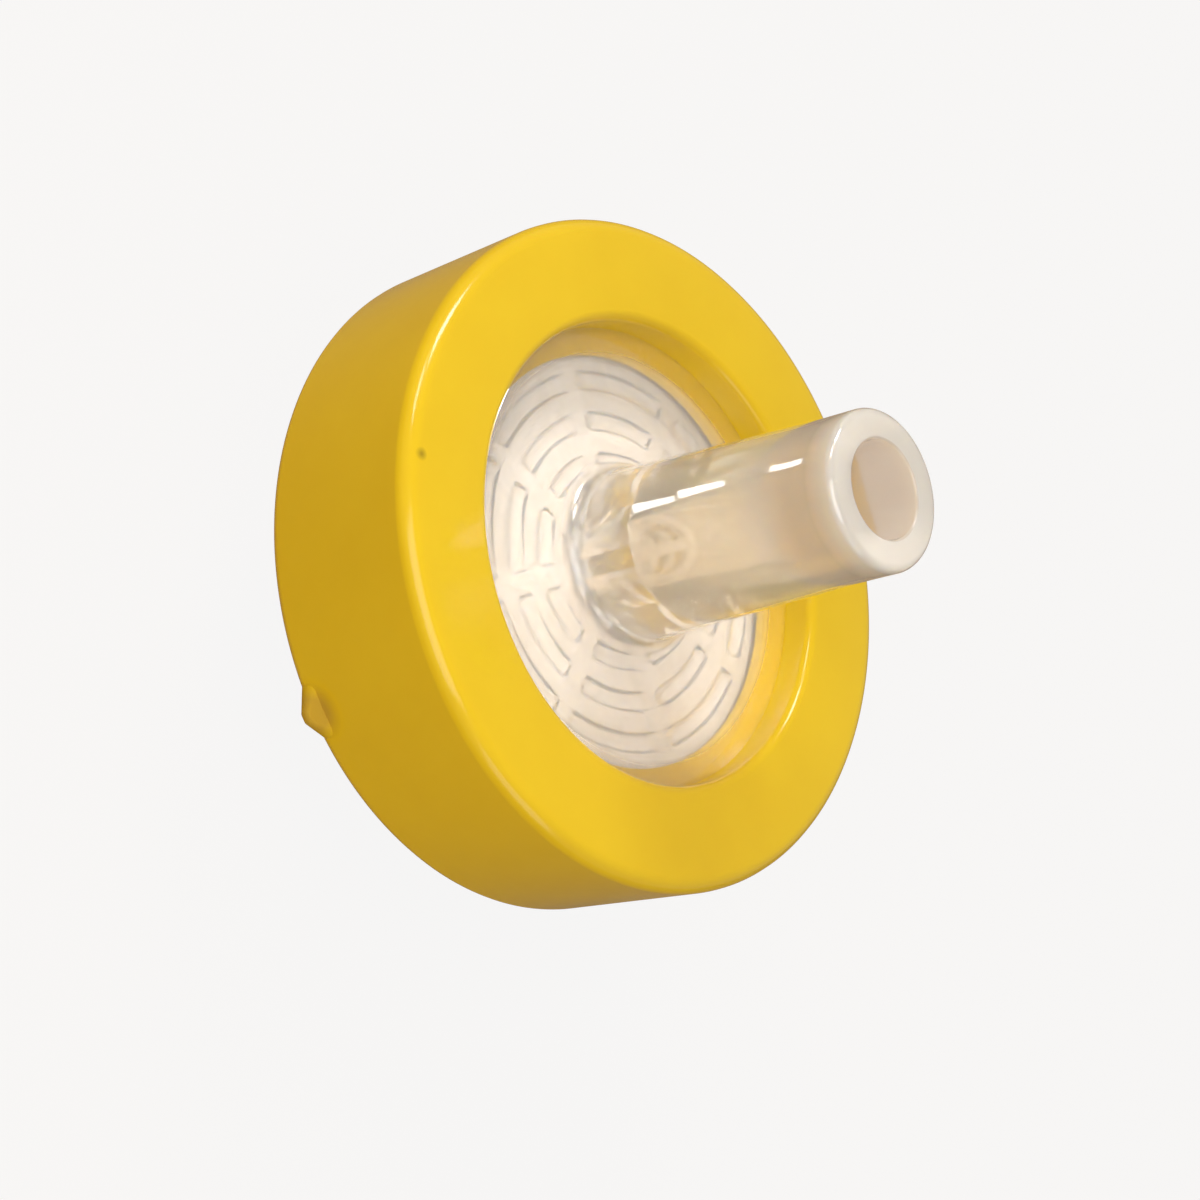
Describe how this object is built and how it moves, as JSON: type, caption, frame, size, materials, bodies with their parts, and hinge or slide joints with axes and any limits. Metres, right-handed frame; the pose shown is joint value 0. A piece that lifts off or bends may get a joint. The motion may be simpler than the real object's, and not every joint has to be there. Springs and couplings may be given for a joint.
{
  "type": "syringe filter",
  "caption": "Round membrane filter for a syringe: clear housings held by an overmoulded ring, with a female inlet socket and a tapered outlet nozzle.",
  "frame": {"origin": "centre of the inlet hub's flat end, which the part stands on", "axes": "+Z along the flow axis from the inlet hub to the outlet nozzle's tip; +X through the middle of one of the hub's two thread lugs"},
  "size_m": [0.017, 0.0171, 0.0174],
  "materials": {
    "ring_plastic": "glossy yellow polypropylene",
    "clear_plastic": "natural polypropylene, clear with a slight haze, smooth mould finish",
    "membrane": "matt white microporous sheet"
  },
  "bodies": {
    "root": {"overmould_ring": "ring_plastic", "outlet_housing": "clear_plastic", "inlet_housing": "clear_plastic", "filter_membrane": "membrane"}
  },
  "joints": []
}
